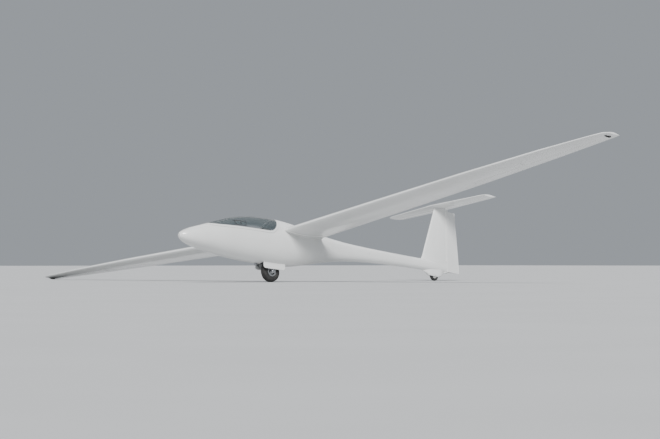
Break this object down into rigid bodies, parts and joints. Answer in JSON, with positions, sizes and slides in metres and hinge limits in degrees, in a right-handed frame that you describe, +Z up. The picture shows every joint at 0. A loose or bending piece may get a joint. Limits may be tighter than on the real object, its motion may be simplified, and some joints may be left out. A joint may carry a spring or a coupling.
{
  "type": "single-seat sailplane",
  "caption": "White T-tail sailplane with long tapered wings, clear side-hinged canopy and cockpit, parked on its main wheel, tail wheel and one wing tip.",
  "frame": {"origin": "on the ground, under the middle of the parked sailplane's bounding box", "axes": "+X towards the tail, +Y towards the right wing tip, +Z up from the ground"},
  "size_m": [6.771, 14.8264, 2.3479],
  "materials": {
    "white_gelcoat": "gloss",
    "canopy_clear": "gloss",
    "tyre_rubber": "matte",
    "skid_rubber": "matte",
    "alloy": "satin",
    "grey_steel": "satin",
    "grey_trim": "satin",
    "black_panel": "satin",
    "blue_webbing": "matte",
    "grey_cloth": "matte",
    "yellow_knob": "gloss",
    "blue_handle": "gloss"
  },
  "bodies": {
    "airframe": {"wing_left": "white_gelcoat", "wing_right": "white_gelcoat", "tailplane": "white_gelcoat", "fin": "white_gelcoat", "fuselage_nose": "white_gelcoat", "fuselage_front_left": "white_gelcoat", "fuselage_front_right": "white_gelcoat", "fuselage_middle_left": "white_gelcoat", "fuselage_middle_right": "white_gelcoat", "fuselage_rear": "white_gelcoat", "gear_door_left": "white_gelcoat", "gear_door_right": "white_gelcoat", "tail_wheel_fairing": "white_gelcoat", "tip_skid_left": "skid_rubber", "tip_skid_right": "skid_rubber", "rudder_pedals": "alloy", "fin_probe": "grey_steel", "main_axle": "grey_steel", "tail_axle": "grey_steel", "gear_fork": "grey_steel", "tow_release": "grey_steel", "seat_pan": "grey_trim", "wheel_bay": "grey_trim", "instrument_panel": "black_panel", "control_stick": "black_panel", "gear_lever": "black_panel", "shoulder_strap_left": "blue_webbing", "shoulder_strap_right": "blue_webbing", "lap_belt": "blue_webbing", "back_cushion": "grey_cloth", "seat_cushion": "grey_cloth", "headrest": "grey_cloth", "tow_release_knob": "yellow_knob", "airbrake_lever": "blue_handle"},
    "main_wheel": {"main_tyre": "tyre_rubber", "main_hub": "alloy"},
    "tail_wheel": {"tail_tyre": "tyre_rubber", "tail_hub": "alloy"},
    "canopy": {"canopy_frame": "white_gelcoat", "canopy_glass_front_left": "canopy_clear", "canopy_glass_front_right": "canopy_clear", "canopy_glass_middle_left": "canopy_clear", "canopy_glass_middle_right": "canopy_clear", "canopy_glass_rear_left": "canopy_clear", "canopy_glass_rear_right": "canopy_clear"},
    "rudder": {"rudder": "white_gelcoat"},
    "elevator": {"elevator": "white_gelcoat"},
    "aileron_left": {"aileron_left": "white_gelcoat"},
    "aileron_right": {"aileron_right": "white_gelcoat"},
    "airbrake_left": {"airbrake_left": "alloy"},
    "airbrake_right": {"airbrake_right": "alloy"}
  },
  "joints": [
    {"name": "main_wheel_turn", "type": "hinge", "parent": "airframe", "child": "main_wheel", "pos_m": [-1.41421, -0.16556, 0.18417], "axis": [0.0172, -0.9881, 0.153], "continuous": true},
    {"name": "tail_wheel_turn", "type": "hinge", "parent": "airframe", "child": "tail_wheel", "pos_m": [2.65181, -0.10782, 0.09875], "axis": [0.0172, -0.9881, 0.153], "continuous": true},
    {"name": "canopy_turn", "type": "hinge", "parent": "airframe", "child": "canopy", "pos_m": [-1.5992, 0.24655, 0.77491], "axis": [-0.9937, 0, 0.112], "range_deg": [0, 85]},
    {"name": "rudder_turn", "type": "hinge", "parent": "airframe", "child": "rudder", "pos_m": [2.99544, -0.09289, 0.15647], "axis": [0.1436, 0.1539, 0.9776], "range_deg": [-30, 30]},
    {"name": "elevator_turn", "type": "hinge", "parent": "airframe", "child": "elevator", "pos_m": [3.12752, 1.27955, 1.19437], "axis": [0.0172, -0.9881, 0.153], "range_deg": [-20, 25]},
    {"name": "aileron_left_turn", "type": "hinge", "parent": "airframe", "child": "aileron_left", "pos_m": [-0.53728, -4.3173, 1.66961], "axis": [-0.0063, -0.9785, 0.2063], "range_deg": [-18, 18]},
    {"name": "aileron_right_turn", "type": "hinge", "parent": "airframe", "child": "aileron_right", "pos_m": [-0.68712, 4.26835, 0.34017], "axis": [-0.0407, 0.9942, -0.0992], "range_deg": [-18, 18]},
    {"name": "airbrake_left_slide", "type": "slide", "parent": "airframe", "child": "airbrake_left", "axis": [0.1442, 0.2053, 0.968], "range_m": [0, 0.08]},
    {"name": "airbrake_right_slide", "type": "slide", "parent": "airframe", "child": "airbrake_right", "axis": [0.146, 0.102, 0.984], "range_m": [0, 0.08]}
  ],
  "couplings": [
    {"joint": "aileron_right_turn", "follows": "aileron_left_turn", "ratio": 1},
    {"joint": "airbrake_right_slide", "follows": "airbrake_left_slide", "ratio": 1}
  ]
}
